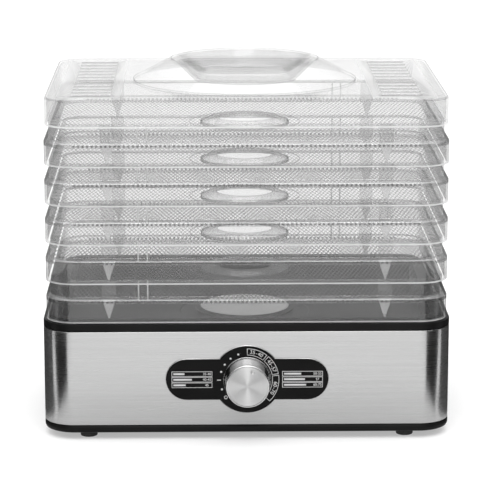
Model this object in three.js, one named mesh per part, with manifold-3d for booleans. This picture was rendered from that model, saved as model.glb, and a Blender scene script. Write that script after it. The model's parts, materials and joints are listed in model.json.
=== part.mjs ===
// Tabletop food dehydrator: a fan-and-heater base in a brushed steel band, five stacked clear
// trays and a clear vented lid. Millimetres, +Z up, front facing -Y, standing on z = 0.
import * as THREE from "three";
import { ConvexGeometry } from "three/addons/geometries/ConvexGeometry.js";
import { mergeVertices } from "three/addons/utils/BufferGeometryUtils.js";
import Module from "manifold-3d";

// Base
const BASE = { width: 333, depth: 253, corner: 26 };
const FOOT_HEIGHT = 5.5;
const PAN_TOP = 12;
const BAND_TOP = 91;
const BAND_SHEET = 0.8;
const LEDGE_TOP = 97;
const SPIGOT_TOP = 100.3;
const SPIGOT_INSET = 6.5;
const WELL_INSET = 15.5;
const WELL_FLOOR = 78;
const FLOOR_SHEET = 2;
const OUTLET_RADIUS = 30;
const POST_X = 100;
const POST_Y = 99;
const FOOT_X = 130;
const FOOT_Y = 112;

// Trays and lid
const TRAY = { width: 328, depth: 248, corner: 24 };
const LID = { width: 326, depth: 246, corner: 23 };
const TRAY_COUNT = 5;
const TRAY_PITCH = 32;
const SKIRT_HEIGHT = 19;
const WALL_RISE = 16;
const WALL_INSET = 4;
const SHEET = 2;
const MESH_DEPTH = 3;
const RIB_X = 112;
const RIB_WIDTH = 11.5;
const KEY_X = 84.3;
const SLOT_WIDTH = 29;
const SLOT_PITCH = 44;
const HUB_HOLE = 24;
const HUB_HALF = 39;
const LID_SKIRT = 22.7;
const DOME_BASE = 94;
const DOME_TOP = 62;
const DOME_RISE = 17.5;
const POCKET_FLOOR = 3;
const GRIP_RADIUS = 60.4;
const VENT_X = 125.8;
const VENT_PITCH = 17.5;

// Front controls
const KNOB_Z = 51;
const KNOB_RADIUS = 19.5;
const KNOB_LENGTH = 21.5;
const PANEL_THICKNESS = 1.6;
const PANEL_RADIUS = 28;
const LOBE_HEIGHT = 34;
const LOBE_REACH = 66;
const SHAFT_RADIUS = 3;

// Air drive
const DUCT_RADIUS = 41;
const DUCT_BOTTOM = 30;
const BRACKET_Z = 24;
const BRACKET_SCREW_X = 60;
const DUCT_SCREW_X = 46.5;
const MOTOR_RADIUS = 20;
const MOTOR_HEIGHT = 18;
const GLAND_X = 110;
const GLAND_Z = 30;

const GAP = 0.3;
const ARC_STEPS = 2;
const FRONT = -BASE.depth / 2;
const BACK = BASE.depth / 2;
const STACK_BOTTOM = LEDGE_TOP + GAP;
const PANEL_FRONT = FRONT - GAP - PANEL_THICKNESS;
const KNOB_BACK = PANEL_FRONT - 0.5;
const KNOB_FRONT = KNOB_BACK - KNOB_LENGTH;
const GLAND_REACH = 3;
const CENTRE_Y = (KNOB_FRONT + BACK + GLAND_REACH) / 2;

const wasm = await Module();
wasm.setup();

// The finishes of the pieces.
const MATERIALS = {
  steel: new THREE.MeshStandardMaterial({ color: 0xb9bbbd, roughness: 0.35, metalness: 1 }),
  sheet: new THREE.MeshStandardMaterial({ color: 0xa6a9ac, roughness: 0.45, metalness: 1 }),
  spun: new THREE.MeshStandardMaterial({ color: 0xd4d5d6, roughness: 0.25, metalness: 1 }),
  copper: new THREE.MeshStandardMaterial({ color: 0x8a6a4a, roughness: 0.5, metalness: 1 }),
  black: new THREE.MeshStandardMaterial({ color: 0x141415, roughness: 0.5 }),
  gloss: new THREE.MeshStandardMaterial({ color: 0x070708, roughness: 0.12 }),
  rubber: new THREE.MeshStandardMaterial({ color: 0x19191a, roughness: 0.85 }),
  grey: new THREE.MeshStandardMaterial({ color: 0xbfc0c0, roughness: 0.5 }),
  mica: new THREE.MeshStandardMaterial({ color: 0xcabf9f, roughness: 0.7 }),
  clear: new THREE.MeshStandardMaterial({
    color: 0xf2f4f5,
    roughness: 0.06,
    transparent: true,
    opacity: 0.3,
  }),
};

// A closed geometry as a solid that can be joined and cut.
function solid(geometry) {
  const bare = geometry.clone();
  bare.deleteAttribute("normal");
  bare.deleteAttribute("uv");
  const merged = mergeVertices(bare, 1e-4);
  const vertProperties = new Float32Array(merged.attributes.position.array);
  const triVerts = new Uint32Array(merged.index.array);
  return new wasm.Manifold(new wasm.Mesh({ numProp: 3, vertProperties, triVerts }));
}

// A solid back as a geometry with flat-shaded faces.
function geometryOf(made) {
  const mesh = made.getMesh();
  const geometry = new THREE.BufferGeometry();
  geometry.setAttribute("position", new THREE.BufferAttribute(mesh.vertProperties, 3));
  geometry.setIndex(new THREE.BufferAttribute(mesh.triVerts, 1));
  const flat = geometry.toNonIndexed();
  flat.computeVertexNormals();
  return flat;
}

function join(...pieces) {
  return pieces.reduce((all, piece) => all.add(piece));
}

// An upright cylinder from z0 to z1 at (x, y).
function post(radius, z0, z1, x = 0, y = 0, sides = 14) {
  const geometry = new THREE.CylinderGeometry(radius, radius, z1 - z0, sides);
  geometry.rotateX(Math.PI / 2);
  geometry.translate(x, y, (z0 + z1) / 2);
  return solid(geometry);
}

// A cylinder lying along Y from y0 to y1 at (x, z).
function rod(radius, y0, y1, x, z, sides = 16) {
  const geometry = new THREE.CylinderGeometry(radius, radius, y1 - y0, sides);
  geometry.translate(x, (y0 + y1) / 2, z);
  return solid(geometry);
}

// A box given by its two opposite corners.
function block(x0, x1, y0, y1, z0, z1) {
  const geometry = new THREE.BoxGeometry(x1 - x0, y1 - y0, z1 - z0);
  geometry.translate((x0 + x1) / 2, (y0 + y1) / 2, (z0 + z1) / 2);
  return solid(geometry);
}

// The rounded rectangle that lies `inset` inside an outline, drawn into a shape or path.
function drawOutline(path, outline, inset) {
  const x = outline.width / 2 - inset;
  const y = outline.depth / 2 - inset;
  const r = outline.corner - inset;
  path.moveTo(x, -y + r);
  path.lineTo(x, y - r);
  path.absarc(x - r, y - r, r, 0, Math.PI / 2);
  path.lineTo(-x + r, y);
  path.absarc(-x + r, y - r, r, Math.PI / 2, Math.PI);
  path.lineTo(-x, -y + r);
  path.absarc(-x + r, -y + r, r, Math.PI, 1.5 * Math.PI);
  path.lineTo(x - r, -y);
  path.absarc(x - r, -y + r, r, 1.5 * Math.PI, 2 * Math.PI);
  return path;
}

// A shape pulled up from z0 to z1.
function prism(shape, z0, z1) {
  const settings = { depth: z1 - z0, bevelEnabled: false, curveSegments: ARC_STEPS };
  const geometry = new THREE.ExtrudeGeometry(shape, settings);
  geometry.translate(0, 0, z0);
  return solid(geometry);
}

// A filled plate of the outline, `inset` inside it.
function plate(outline, inset, z0, z1) {
  return prism(drawOutline(new THREE.Shape(), outline, inset), z0, z1);
}

// A wall that follows the outline between two insets.
function wall(outline, inset, innerInset, z0, z1) {
  const shape = drawOutline(new THREE.Shape(), outline, inset);
  shape.holes.push(drawOutline(new THREE.Path(), outline, innerInset));
  return prism(shape, z0, z1);
}

// A body of revolution about Z from (radius, z) points listed counter-clockwise.
function turned(points, sides = 24) {
  const profile = points.map(([r, z]) => new THREE.Vector2(r, z));
  profile.push(profile[0]);
  const geometry = new THREE.LatheGeometry(profile, sides);
  geometry.rotateX(Math.PI / 2);
  return solid(geometry);
}

// A body of revolution about an axis along Y through the knob's centre, from (radius, y) points.
function turnedOnKnobAxis(points, sides = 24) {
  const profile = points.map(([r, y]) => new THREE.Vector2(r, y));
  profile.push(profile[0]);
  const geometry = new THREE.LatheGeometry(profile, sides);
  geometry.translate(0, 0, KNOB_Z);
  return solid(geometry);
}

const CORNERS = [
  [-1, -1],
  [1, -1],
  [1, 1],
  [-1, 1],
];

// Bottom moulding: floor, rim under the band, lip inside it, intake slots and screw bosses.
function basePan() {
  let pan = join(
    plate(BASE, 3, FOOT_HEIGHT, FOOT_HEIGHT + 2.5),
    wall(BASE, 0, 3.2, FOOT_HEIGHT + 1.5, PAN_TOP),
    wall(BASE, 1.4, 3.2, FOOT_HEIGHT + 1.5, PAN_TOP + 6),
  );
  for (let i = -2; i <= 2; i += 1) {
    const reach = Math.sqrt(38 ** 2 - (i * 14) ** 2);
    pan = pan.subtract(block(-reach, reach, i * 14 - 4, i * 14 + 4, 0, 10));
  }
  for (const [sx, sy] of CORNERS) {
    const x = sx * POST_X;
    const y = sy * POST_Y;
    pan = pan.add(post(6, FOOT_HEIGHT, 20, x, y));
    pan = pan.subtract(post(4, 0, 13, x, y));
    pan = pan.subtract(post(1.8, 12, 21, x, y, 8));
    pan = pan.subtract(post(2.6, 0, 10, sx * FOOT_X, sy * FOOT_Y, 8));
  }
  for (const side of [-1, 1]) {
    pan = pan.subtract(post(1.8, 0, 10, side * BRACKET_SCREW_X, 0, 8));
  }
  return pan;
}

// Stainless sheet wrapped round the base, pierced for the knob shaft and the cord gland.
function steelBand() {
  return wall(BASE, 0, BAND_SHEET, PAN_TOP + GAP, BAND_TOP - GAP)
    .subtract(rod(5.4, FRONT - 5, FRONT + 5, 0, KNOB_Z))
    .subtract(rod(6.4, BACK - 5, BACK + 5, GLAND_X, GLAND_Z));
}

// Top moulding: ledge, spigot that the bottom tray fits over, and the walls of the sunken well.
function topCover() {
  return join(
    wall(BASE, 0, 2.5, BAND_TOP, LEDGE_TOP),
    wall(BASE, 1.4, 3.2, BAND_TOP - 7, BAND_TOP + 1),
    wall(BASE, 0, SPIGOT_INSET + 2, LEDGE_TOP - 2.2, LEDGE_TOP),
    wall(BASE, SPIGOT_INSET, SPIGOT_INSET + 2, LEDGE_TOP - 2.2, SPIGOT_TOP),
    wall(BASE, SPIGOT_INSET, WELL_INSET, SPIGOT_TOP - 2, SPIGOT_TOP),
    wall(BASE, WELL_INSET - 2, WELL_INSET, WELL_FLOOR - FLOOR_SHEET, SPIGOT_TOP),
  );
}

// Floor of the well, with the warm-air outlet in the middle and the screw posts below.
function wellFloor() {
  let floor = plate(BASE, WELL_INSET + GAP, WELL_FLOOR - FLOOR_SHEET, WELL_FLOOR);
  for (const [sx, sy] of CORNERS) {
    const x = sx * POST_X;
    const y = sy * POST_Y;
    floor = floor.add(post(5, 20 + GAP, WELL_FLOOR - 1, x, y));
    floor = floor.subtract(post(1.8, 20, 36, x, y, 8));
    floor = floor.subtract(post(2.3, 70, 80, sx * 24.5, sy * 24.5, 8));
  }
  for (const side of [-1, 1]) {
    floor = floor.subtract(post(1.8, 74, WELL_FLOOR - 0.4, side * DUCT_SCREW_X, 0, 8));
  }
  return floor.subtract(post(OUTLET_RADIUS, 70, 80, 0, 0, 24));
}

// Grey cap over the warm-air outlet; air leaves through the slit under its rim.
function outletDisc() {
  let disc = turned([
    [0, WELL_FLOOR + 3.2],
    [42.6, WELL_FLOOR + 3.2],
    [42.6, WELL_FLOOR + 3.7],
    [38, WELL_FLOOR + 5],
    [0, WELL_FLOOR + 5],
  ]);
  for (const [sx, sy] of CORNERS) {
    disc = disc.add(post(2, WELL_FLOOR - 4, WELL_FLOOR + 4, sx * 24.5, sy * 24.5, 8));
  }
  return disc;
}

// Sheet-metal chimney round the fan and the heater, hung from the well floor by its flange.
function heaterDuct() {
  const top = WELL_FLOOR - FLOOR_SHEET - GAP;
  let duct = turned([
    [DUCT_RADIUS, DUCT_BOTTOM],
    [DUCT_RADIUS + 1, DUCT_BOTTOM],
    [DUCT_RADIUS + 1, top - 1],
    [DUCT_RADIUS + 9, top - 1],
    [DUCT_RADIUS + 9, top],
    [DUCT_RADIUS, top],
  ]);
  for (const side of [-1, 1]) {
    duct = duct.subtract(post(1.8, top - 4, top + 4, side * DUCT_SCREW_X, 0, 8));
  }
  return duct;
}

// Two crossed mica cards that carry the heating coil.
function heaterSupport() {
  const reach = DUCT_RADIUS - GAP;
  return block(-reach, reach, -0.5, 0.5, 61, 68).add(block(-0.5, 0.5, -reach, reach, 61, 68));
}

function heatingCoil() {
  const geometry = new THREE.TorusGeometry(27, 2.2, 6, 24);
  geometry.translate(0, 0, 68 + GAP + 2.2);
  return solid(geometry);
}

// Strap across the duct's mouth that stands on the pan and holds the motor.
function motorBracket() {
  let bracket = join(
    block(-54, 54, -11, 11, BRACKET_Z, BRACKET_Z + 2),
    block(-54, -52, -11, 11, FOOT_HEIGHT + 2.5 + GAP, BRACKET_Z + 2),
    block(52, 54, -11, 11, FOOT_HEIGHT + 2.5 + GAP, BRACKET_Z + 2),
    block(-66, -52, -11, 11, FOOT_HEIGHT + 2.5 + GAP, FOOT_HEIGHT + 4.5 + GAP),
    block(52, 66, -11, 11, FOOT_HEIGHT + 2.5 + GAP, FOOT_HEIGHT + 4.5 + GAP),
  );
  for (const side of [-1, 1]) {
    bracket = bracket.subtract(post(1.8, 5, 12, side * BRACKET_SCREW_X, 0, 8));
  }
  return bracket;
}

function fanMotor() {
  const bottom = BRACKET_Z + 2 + GAP;
  const motor = post(MOTOR_RADIUS, bottom, bottom + MOTOR_HEIGHT, 0, 0, 28);
  return motor
    .add(post(6, bottom + MOTOR_HEIGHT - 1, bottom + MOTOR_HEIGHT + 2))
    .subtract(post(1.8, bottom + 8, bottom + MOTOR_HEIGHT + 3, 0, 0, 8));
}

function fanShaft() {
  return post(1.5, BRACKET_Z + 10.8, 59, 0, 0, 12);
}

// Hub with seven pitched blades.
function fanImpeller() {
  let fan = post(8, 49, 58, 0, 0, 24);
  for (let i = 0; i < 7; i += 1) {
    const blade = new THREE.BoxGeometry(30, 13, 1.4);
    blade.rotateX(0.55);
    blade.translate(21.5, 0, 53.5);
    blade.rotateZ((i * 2 * Math.PI) / 7);
    fan = fan.add(solid(blade));
  }
  return fan.subtract(post(1.8, 48, 60, 0, 0, 8));
}

function thermalFuse() {
  const x = DUCT_RADIUS + 1 + GAP;
  return block(x, x + 1, -5, 5, 46, 60).add(block(x + 0.5, x + 6, -4, 4, 48, 58));
}

// Rotary thermostat behind the band; its threaded bush carries the shaft through the sheet.
function thermostat() {
  const y = FRONT + BAND_SHEET + GAP;
  return block(-17, 17, y, y + 24, KNOB_Z - 15, KNOB_Z + 15)
    .add(rod(5, FRONT - GAP, y + 1, 0, KNOB_Z))
    .subtract(rod(SHAFT_RADIUS + GAP, FRONT - 2, y + 14, 0, KNOB_Z));
}

function knobShaft() {
  const back = FRONT + BAND_SHEET + 10;
  return rod(SHAFT_RADIUS, KNOB_BACK - 15, back, 0, KNOB_Z, 18);
}

// Hollow knob with a shaft socket and a shallow seat in front for the spun cap.
function knobBody() {
  return turnedOnKnobAxis([
    [SHAFT_RADIUS + GAP, KNOB_BACK],
    [SHAFT_RADIUS + GAP, KNOB_BACK - 16],
    [0, KNOB_BACK - 16],
    [0, KNOB_FRONT + 1],
    [KNOB_RADIUS - 2.4, KNOB_FRONT + 1],
    [KNOB_RADIUS - 2.4, KNOB_FRONT],
    [KNOB_RADIUS - 2, KNOB_FRONT],
    [KNOB_RADIUS, KNOB_BACK - 3],
    [KNOB_RADIUS, KNOB_BACK],
    [KNOB_RADIUS - 2, KNOB_BACK],
    [KNOB_RADIUS - 4, KNOB_BACK - 16],
    [SHAFT_RADIUS + 3, KNOB_BACK - 16],
    [SHAFT_RADIUS + 3, KNOB_BACK],
  ]);
}

// Spun disc in the knob's face, with a dimple that points to the setting.
function knobCap() {
  const radius = KNOB_RADIUS - 2.7;
  const dimple = new THREE.SphereGeometry(2, 12, 8);
  const angle = THREE.MathUtils.degToRad(18.5);
  dimple.translate(13 * Math.sin(angle), KNOB_FRONT - 1.3, KNOB_Z + 13 * Math.cos(angle));
  return rod(radius, KNOB_FRONT, KNOB_FRONT + 1 - GAP, 0, KNOB_Z, 40).subtract(solid(dimple));
}

// Front plate: a disc behind the knob with a round-ended lobe on each side.
function controlPanel() {
  const half = LOBE_HEIGHT / 2;
  const meet = Math.asin(half / PANEL_RADIUS);
  const shape = new THREE.Shape();
  shape.absarc(0, 0, PANEL_RADIUS, meet, Math.PI - meet);
  shape.absarc(-LOBE_REACH + half, 0, half, Math.PI / 2, 1.5 * Math.PI);
  shape.absarc(0, 0, PANEL_RADIUS, Math.PI + meet, 2 * Math.PI - meet);
  shape.absarc(LOBE_REACH - half, 0, half, -Math.PI / 2, Math.PI / 2);
  const settings = { depth: PANEL_THICKNESS, bevelEnabled: false, curveSegments: 8 };
  const geometry = new THREE.ExtrudeGeometry(shape, settings);
  geometry.rotateX(Math.PI / 2);
  geometry.translate(0, FRONT - GAP, KNOB_Z);
  return solid(geometry).subtract(rod(SHAFT_RADIUS + GAP, FRONT - 8, FRONT + 2, 0, KNOB_Z));
}

// Rear bush that the supply cord passes through.
function cordGland() {
  const geometry = new THREE.LatheGeometry(
    [
      [3.4, BACK - 6],
      [6, BACK - 6],
      [6, BACK + GAP],
      [9, BACK + GAP],
      [8, BACK + GLAND_REACH],
      [3.4, BACK + GLAND_REACH],
      [3.4, BACK - 6],
    ].map(([r, y]) => new THREE.Vector2(r, y)),
    16,
  );
  geometry.translate(GLAND_X, 0, GLAND_Z);
  return solid(geometry);
}

function terminalBlock() {
  const floor = FOOT_HEIGHT + 2.5 + GAP;
  return block(88, 120, 70, 84, floor, floor + 12);
}

// A round wire through a list of points.
function wire(points, radius = 1.1) {
  const curve = new THREE.CatmullRomCurve3(points.map((p) => new THREE.Vector3(...p)));
  const section = new THREE.Shape().absarc(0, 0, radius, 0, 2 * Math.PI);
  const settings = { steps: 14, curveSegments: 3, extrudePath: curve, bevelEnabled: false };
  return solid(new THREE.ExtrudeGeometry(section, settings));
}

// Turned foot: pad below the pan, stem through it and a snap head above.
function foot() {
  return turned(
    [
      [0, 0],
      [6.4, 0],
      [7, 0.8],
      [7, FOOT_HEIGHT - GAP],
      [2.2, FOOT_HEIGHT - GAP],
      [2.2, FOOT_HEIGHT + 2.5 + GAP],
      [3.4, FOOT_HEIGHT + 2.5 + GAP],
      [2.2, FOOT_HEIGHT + 5],
      [0, FOOT_HEIGHT + 5],
    ],
    14,
  );
}

// Pan-head screw with its head down, head underside at z = 0.
function screw(length) {
  return post(3.2, -2, 0, 0, 0, 14)
    .add(post(1.5, -0.5, length, 0, 0, 10))
    .subtract(block(-2.2, 2.2, -0.4, 0.4, -3, -1.2));
}

// A tray's food floor with its air slots, open in the middle for the hub.
function foodFloor() {
  let floor = plate(TRAY, WALL_INSET + SHEET + GAP, -1 - MESH_DEPTH, -1);
  for (let row = -2; row <= 2; row += 1) {
    const y0 = row * SLOT_PITCH - SLOT_WIDTH / 2;
    const y1 = y0 + SLOT_WIDTH;
    floor = floor.subtract(block(-152, -42, y0, y1, -10, 5));
    floor = floor.subtract(block(42, 152, y0, y1, -10, 5));
    if (Math.abs(row) === 2) {
      floor = floor.subtract(block(-32, 32, y0, y1, -10, 5));
    }
  }
  return floor.subtract(block(-HUB_HALF, HUB_HALF, -HUB_HALF, HUB_HALF, -10, 5));
}

// A tray's frame: skirt, flange, wall, keys and ribs. Its flange's top face is at z = 0.
function trayFrame() {
  let made = join(
    wall(TRAY, 0, SHEET, -SKIRT_HEIGHT, 0),
    wall(TRAY, 0, WALL_INSET + SHEET, -SHEET, 0),
    wall(TRAY, WALL_INSET, WALL_INSET + SHEET, -1 - MESH_DEPTH, WALL_RISE),
  );
  const inner = TRAY.depth / 2 - WALL_INSET - SHEET;
  for (const side of [-1, 1]) {
    for (const edge of [-4.3, 3.1]) {
      const x = side * KEY_X + edge;
      const y = side * (inner - 1);
      made = made.add(block(x, x + 1.2, y - 1.5, y + 1.5, -1 + GAP, WALL_RISE - 1));
    }
  }
  return made.add(spacerRibs(WALL_RISE, TRAY_PITCH - WALL_RISE - GAP));
}

// Square plate in the middle of the food floor, with a raised collar round the tray's centre hole.
function hub() {
  const half = HUB_HALF - GAP;
  const profile = [
    [HUB_HOLE, -1 - MESH_DEPTH],
    [36.5, -1 - MESH_DEPTH],
    [36.5, -1],
    [30, 2.7],
    [HUB_HOLE, 2.7],
  ];
  return block(-half, half, -half, half, -1 - MESH_DEPTH, -1)
    .subtract(post(HUB_HOLE + 1, -10, 10, 0, 0, 24))
    .add(turned(profile, 20));
}

// Tapered ribs under the walls that stand on the next wall's edge, with a pad above each.
function spacerRibs(padHeight, drop) {
  const middle = TRAY.depth / 2 - WALL_INSET - SHEET / 2;
  const shape = new THREE.Shape();
  shape.moveTo(-RIB_WIDTH / 2, 0);
  shape.lineTo(-1.2, 1 - drop);
  shape.lineTo(-1.2, -drop);
  shape.lineTo(1.2, -drop);
  shape.lineTo(1.2, 1 - drop);
  shape.lineTo(RIB_WIDTH / 2, 0);
  shape.lineTo(RIB_WIDTH / 2, padHeight);
  shape.lineTo(-RIB_WIDTH / 2, padHeight);
  let ribs = null;
  for (const [sx, sy] of CORNERS) {
    const geometry = new THREE.ExtrudeGeometry(shape, { depth: SHEET, bevelEnabled: false });
    geometry.rotateX(Math.PI / 2);
    geometry.translate(sx * RIB_X, sy * (middle + 0.3) + SHEET / 2, 0);
    const rib = solid(geometry);
    ribs = ribs ? ribs.add(rib) : rib;
  }
  return ribs;
}

// A finger pocket sunk into the dome in front of (side -1) or behind (side 1) the grip bar. Its
// floor is narrow and its mouth wide, so its walls lean outwards.
function fingerPocket(side, grow) {
  const rings = [
    { z: LID_SKIRT + POCKET_FLOOR - grow, barX: 30, barY: 14, radius: 50, from: 37 },
    { z: LID_SKIRT + DOME_RISE + 0.5, barX: 49, barY: 8, radius: 59, from: 6 },
  ];
  const points = [];
  for (const ring of rings) {
    const x = ring.barX + grow;
    const y = side * (ring.barY - grow);
    points.push(new THREE.Vector3(-x, y, ring.z), new THREE.Vector3(x, y, ring.z));
    for (let i = 0; i <= 8; i += 1) {
      const angle = THREE.MathUtils.degToRad(ring.from + ((180 - 2 * ring.from) * i) / 8);
      const reach = ring.radius + grow;
      points.push(new THREE.Vector3(reach * Math.cos(angle), side * reach * Math.sin(angle), ring.z));
    }
  }
  return solid(new ConvexGeometry(points));
}

// The dome as a solid: a low cone with a flat top.
function dome(base, top, z, rise) {
  return turned([[0, z - 1], [base, z - 1], [base, z], [top, z + rise], [0, z + rise]], 48);
}

// The lid's raised middle, a domed shell with two finger pockets. z = 0 is the lid's bottom edge.
function lidMiddle() {
  let outer = dome(DOME_BASE, DOME_TOP, LID_SKIRT, DOME_RISE);
  let inner = dome(DOME_BASE - SHEET, DOME_TOP - 1.2, LID_SKIRT - SHEET, DOME_RISE);
  for (const side of [-1, 1]) {
    outer = outer.subtract(fingerPocket(side, 0));
    inner = inner.subtract(fingerPocket(side, SHEET));
  }
  return outer.subtract(inner);
}

function lidDome() {
  return lidMiddle().subtract(post(GRIP_RADIUS + GAP, 0, LID_SKIRT + 30, 0, 0, 48));
}

// The pockets and the bar between them, which a hand closes on.
function lidGrip() {
  return lidMiddle().intersect(post(GRIP_RADIUS, 0, LID_SKIRT + 30, 0, 0, 48));
}

// The lid's box: skirt and roof with vents, open in the middle for the dome.
function lidBox() {
  let made = plate(LID, 0, 0, LID_SKIRT)
    .subtract(plate(LID, SHEET, -1, LID_SKIRT - SHEET))
    .subtract(post(DOME_BASE + GAP, 0, LID_SKIRT + 5, 0, 0, 48));
  for (const side of [-1, 1]) {
    for (let i = -5.5; i <= 5.5; i += 1) {
      const x = side * VENT_X;
      const y = i * VENT_PITCH;
      made = made.subtract(block(x - 16.5, x + 16.5, y - 1.5, y + 1.5, LID_SKIRT - 5, LID_SKIRT + 5));
    }
  }
  const roof = LID_SKIRT - SHEET;
  const wallTop = SKIRT_HEIGHT + WALL_RISE - TRAY_PITCH;
  return made.add(spacerRibs(0.5, roof - wallTop - GAP).translate([0, 0, roof]));
}

const dehydrator = new THREE.Group();
const body = new THREE.Group();
body.position.y = -CENTRE_Y;
dehydrator.add(body);

function place(name, made, material, x = 0, y = 0, z = 0) {
  const mesh = new THREE.Mesh(geometryOf(made), MATERIALS[material]);
  mesh.name = name;
  mesh.position.set(x, y, z);
  body.add(mesh);
}

place("base_pan", basePan(), "black");
place("steel_band", steelBand(), "steel");
place("top_cover", topCover(), "black");
place("well_floor", wellFloor(), "black");
place("outlet_disc", outletDisc(), "grey");
place("heater_duct", heaterDuct(), "sheet");
place("heater_support", heaterSupport(), "mica");
place("heating_coil", heatingCoil(), "copper");
place("motor_bracket", motorBracket(), "sheet");
place("fan_motor", fanMotor(), "sheet");
place("fan_shaft", fanShaft(), "spun");
place("fan_impeller", fanImpeller(), "black");
place("thermal_fuse", thermalFuse(), "mica");
place("thermostat", thermostat(), "mica");
place("knob_shaft", knobShaft(), "spun");
place("knob_body", knobBody(), "spun");
place("knob_cap", knobCap(), "spun");
place("control_panel", controlPanel(), "gloss");
place("cord_gland", cordGland(), "rubber");
place("terminal_block", terminalBlock(), "grey");

place("wire_supply", wire([[110, 119.8, 30], [110, 105, 30], [107, 86, 28], [106, 77, 22]]), "rubber");
place(
  "wire_thermostat",
  wire([[98, 77, 22], [101, 55, 25], [100, 0, 20], [78, -66, 22], [22, -86, 40], [10, -99.6, 46]]),
  "rubber",
);
place(
  "wire_heater",
  wire([[4, -99.6, 56], [26, -84, 56], [52, -50, 54], [47, -20, 53], [45.5, -5.6, 53]]),
  "rubber",
);
place(
  "wire_motor",
  wire([[92, 77, 22], [80, 55, 22], [46, 36, 15], [24, 22, 18], [15.6, 15.6, 28]]),
  "rubber",
);
CORNERS.forEach(([sx, sy], i) => {
  place(`foot_${i + 1}`, foot(), "rubber", sx * FOOT_X, sy * FOOT_Y);
  place(`pan_screw_${i + 1}`, screw(20), "steel", sx * POST_X, sy * POST_Y, 13 - GAP);
});
[-1, 1].forEach((side, i) => {
  const strapTop = FOOT_HEIGHT + 4.5 + GAP;
  const ductFlange = WELL_FLOOR - FLOOR_SHEET - GAP - 1;
  const flipped = screw(4).rotate([180, 0, 0]);
  place(`bracket_screw_${i + 1}`, flipped, "steel", side * BRACKET_SCREW_X, 0, strapTop + GAP);
  place(`duct_screw_${i + 1}`, screw(2.8), "steel", side * DUCT_SCREW_X, 0, ductFlange - GAP);
});
const oneFrame = trayFrame();
const oneFloor = foodFloor();
const oneHub = hub();
for (let i = 0; i < TRAY_COUNT; i += 1) {
  const flange = STACK_BOTTOM + SKIRT_HEIGHT + i * TRAY_PITCH;
  place(`tray_${TRAY_COUNT - i}_frame`, oneFrame, "clear", 0, 0, flange);
  place(`tray_${TRAY_COUNT - i}_floor`, oneFloor, "clear", 0, 0, flange);
  place(`tray_${TRAY_COUNT - i}_hub`, oneHub, "clear", 0, 0, flange);
}
const lidBottom = STACK_BOTTOM + TRAY_COUNT * TRAY_PITCH;
place("lid_box", lidBox(), "clear", 0, 0, lidBottom);
place("lid_dome", lidDome(), "clear", 0, 0, lidBottom);
place("lid_grip", lidGrip(), "clear", 0, 0, lidBottom);

export default dehydrator;
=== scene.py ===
import json
import math

import bmesh
import bpy
from mathutils import Matrix, Vector


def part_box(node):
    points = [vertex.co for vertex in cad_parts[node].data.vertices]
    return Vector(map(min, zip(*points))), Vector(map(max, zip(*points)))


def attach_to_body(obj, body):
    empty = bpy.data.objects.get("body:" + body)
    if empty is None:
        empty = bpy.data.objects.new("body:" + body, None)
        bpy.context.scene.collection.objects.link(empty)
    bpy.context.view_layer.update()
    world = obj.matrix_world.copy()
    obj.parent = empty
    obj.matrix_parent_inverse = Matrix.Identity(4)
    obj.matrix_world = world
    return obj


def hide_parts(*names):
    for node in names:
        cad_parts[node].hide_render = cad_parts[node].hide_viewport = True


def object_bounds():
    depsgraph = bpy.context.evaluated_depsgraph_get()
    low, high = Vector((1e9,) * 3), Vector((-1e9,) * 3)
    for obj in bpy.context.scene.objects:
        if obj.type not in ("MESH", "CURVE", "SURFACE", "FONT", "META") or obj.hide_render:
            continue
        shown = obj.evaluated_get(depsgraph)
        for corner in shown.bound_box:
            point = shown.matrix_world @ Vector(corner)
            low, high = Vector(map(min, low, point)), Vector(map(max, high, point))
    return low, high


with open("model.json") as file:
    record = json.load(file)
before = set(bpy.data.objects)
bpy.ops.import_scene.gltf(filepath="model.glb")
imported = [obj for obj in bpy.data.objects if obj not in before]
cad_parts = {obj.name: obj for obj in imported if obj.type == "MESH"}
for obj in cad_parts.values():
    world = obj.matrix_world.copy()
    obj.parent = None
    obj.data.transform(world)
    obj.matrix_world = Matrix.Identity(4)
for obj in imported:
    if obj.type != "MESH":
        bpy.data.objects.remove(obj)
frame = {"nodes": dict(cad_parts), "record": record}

cad_low, cad_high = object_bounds()
scene = bpy.context.scene
MM = 0.001
FULL = 2 * math.pi


# ---------------------------------------------------------------- camera


def add_camera():
    """A long lens in front of the object, a little above it and left of its middle."""
    data = bpy.data.cameras.new("camera")
    data.lens = 172.8
    data.sensor_width = 36
    data.clip_start = 0.05
    data.clip_end = 60
    camera = bpy.data.objects.new("camera", data)
    camera.location = (-0.0333, -2.0029, 0.5752)
    camera.rotation_euler = (math.radians(77.55), 0, math.radians(-1.08))
    scene.collection.objects.link(camera)
    scene.camera = camera


add_camera()


# ---------------------------------------------------------------- material helpers


def new_material(name):
    material = bpy.data.materials.new(name)
    material.use_nodes = True
    tree = material.node_tree
    return material, tree, tree.nodes["Principled BSDF"]


def place_vector(tree, stretch):
    """Object coordinates in metres, scaled by a different amount along each axis."""
    where = tree.nodes.new("ShaderNodeTexCoord")
    mapping = tree.nodes.new("ShaderNodeMapping")
    mapping.inputs["Scale"].default_value = stretch
    tree.links.new(where.outputs["Object"], mapping.inputs["Vector"])
    return mapping.outputs["Vector"]


def noise_from(tree, stretch, detail, roughness=0.5):
    noise = tree.nodes.new("ShaderNodeTexNoise")
    noise.inputs["Scale"].default_value = 1.0
    noise.inputs["Detail"].default_value = detail
    noise.inputs["Roughness"].default_value = roughness
    tree.links.new(place_vector(tree, stretch), noise.inputs["Vector"])
    return noise.outputs["Fac"]


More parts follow.
